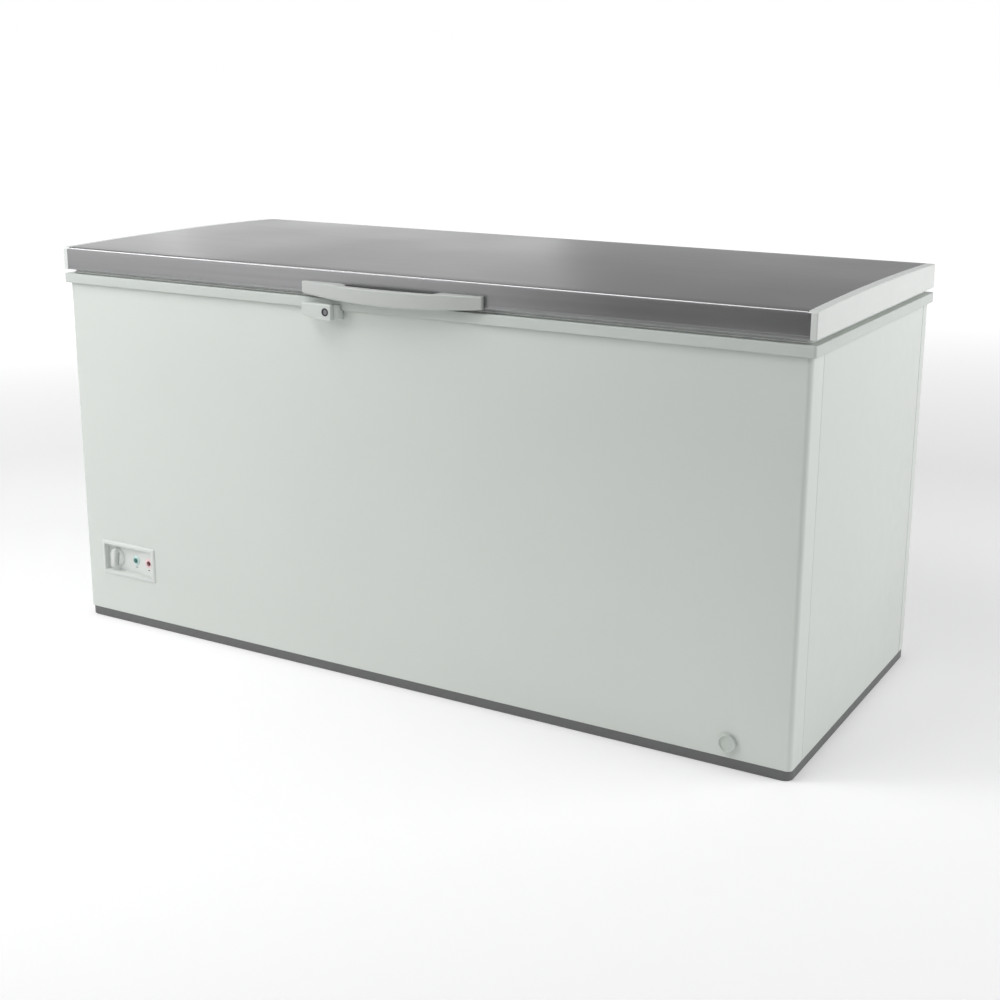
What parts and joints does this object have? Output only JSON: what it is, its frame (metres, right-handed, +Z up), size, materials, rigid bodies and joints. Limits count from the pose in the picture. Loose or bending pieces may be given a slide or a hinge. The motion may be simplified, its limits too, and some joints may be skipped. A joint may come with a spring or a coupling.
{
  "type": "chest freezer",
  "caption": "Wide white chest freezer with a hinged stainless lid, bowed front handle and key lock, low control panel, front drain, and a machine compartment at one end.",
  "frame": {"origin": "on the floor, under the middle of the whole object's box", "axes": "+Z up; +X to the right of a person who stands in front; -Y towards that person (the side with the handle, the control panel and the drain)"},
  "size_m": [1.705, 0.791, 0.85],
  "materials": {
    "white_case": "satin",
    "zinc_sheet": "satin",
    "grey_plastic": "matte",
    "white_plastic": "satin",
    "rim_plastic": "satin",
    "silver_plastic": "satin",
    "black_plastic": "matte",
    "tub_aluminium": "satin",
    "tube_aluminium": "satin",
    "foam": "matte",
    "black_steel": "satin",
    "copper": "polished",
    "rubber": "matte",
    "gasket_rubber": "matte",
    "stainless": "satin",
    "bright_steel": "polished",
    "chrome": "polished",
    "green_lamp": "gloss",
    "red_lamp": "gloss"
  },
  "bodies": {
    "cabinet": {"base_pan": "zinc_sheet", "base_plinth": "grey_plastic", "cabinet_screws": "bright_steel", "cable_gland": "black_plastic", "compressor": "black_steel", "compressor_bolts": "bright_steel", "compressor_bulkhead": "zinc_sheet", "compressor_deck": "zinc_sheet", "compressor_mounts": "rubber", "compressor_plate": "zinc_sheet", "condenser_coil": "black_steel", "control_bezel": "white_plastic", "drain_collar": "white_plastic", "drain_tube": "white_plastic", "evaporator_coil": "tube_aluminium", "filter_drier_and_capillary": "copper", "foam_floor": "foam", "foam_front": "foam", "foam_left": "foam", "foam_rear": "foam", "foam_right": "foam", "foam_step": "foam", "front_panel": "white_case", "hinge_brackets": "zinc_sheet", "hinge_pins": "bright_steel", "hinge_spring_left": "bright_steel", "hinge_spring_right": "bright_steel", "inner_tub": "tub_aluminium", "lamp_green": "green_lamp", "lamp_red": "red_lamp", "lock_housing": "silver_plastic", "lock_ring": "black_plastic", "rear_cover": "zinc_sheet", "rear_panel": "white_case", "refrigerant_lines": "copper", "rim_frame": "rim_plastic", "side_panel_left": "white_case", "side_panel_right": "white_case", "terminal_cover": "black_plastic", "thermostat": "black_plastic", "thermostat_sensing_tube": "copper", "vent_grille_left": "white_plastic"},
    "lid": {"lid_skin": "stainless", "lid_end_cap_left": "white_plastic", "lid_end_cap_right": "white_plastic", "lid_liner": "white_plastic", "lid_foam": "foam", "lid_gasket": "gasket_rubber", "lid_handle": "silver_plastic", "lock_keeper": "zinc_sheet", "hinge_leaf_left": "zinc_sheet", "hinge_leaf_right": "zinc_sheet", "lid_screws": "bright_steel"},
    "thermostat_knob": {"thermostat_knob": "white_plastic"},
    "lock_key": {"lock_barrel": "chrome", "lock_hook": "zinc_sheet"},
    "drain_cap": {"drain_cap": "white_plastic"},
    "drain_plug": {"drain_plug": "rubber"},
    "hinge_plungers": {"hinge_plunger_left": "black_plastic", "hinge_plunger_right": "black_plastic"}
  },
  "joints": [
    {"name": "lid_hinge", "type": "hinge", "parent": "cabinet", "child": "lid", "pos_m": [0, 0.3795, 0.784], "axis": [-1, 0, 0], "range_deg": [0, 82], "stiffness_Nm_per_rad": 25, "springref_deg": 80.21},
    {"name": "plunger_slide", "type": "slide", "parent": "cabinet", "child": "hinge_plungers", "axis": [0, 0, 1], "range_m": [0, 0.0205], "deforming": ["hinge_spring_left", "hinge_spring_right"]},
    {"name": "thermostat_turn", "type": "hinge", "parent": "cabinet", "child": "thermostat_knob", "pos_m": [-0.763, -0.3525, 0.147], "axis": [0, -1, 0], "range_deg": [-140, 140]},
    {"name": "key_turn", "type": "hinge", "parent": "cabinet", "child": "lock_key", "pos_m": [-0.1315, -0.3682, 0.7645], "axis": [0, 1, 0], "range_deg": [0, 90]},
    {"name": "drain_cap_pull", "type": "slide", "parent": "cabinet", "child": "drain_cap", "axis": [0, -1, 0], "range_m": [0, 0.03]},
    {"name": "drain_plug_pull", "type": "slide", "parent": "cabinet", "child": "drain_plug", "axis": [0, 0, 1], "range_m": [0, 0.05]}
  ],
  "couplings": [
    {"joint": "plunger_slide", "follows": "lid_hinge", "m_per_rad": 0.014211}
  ]
}
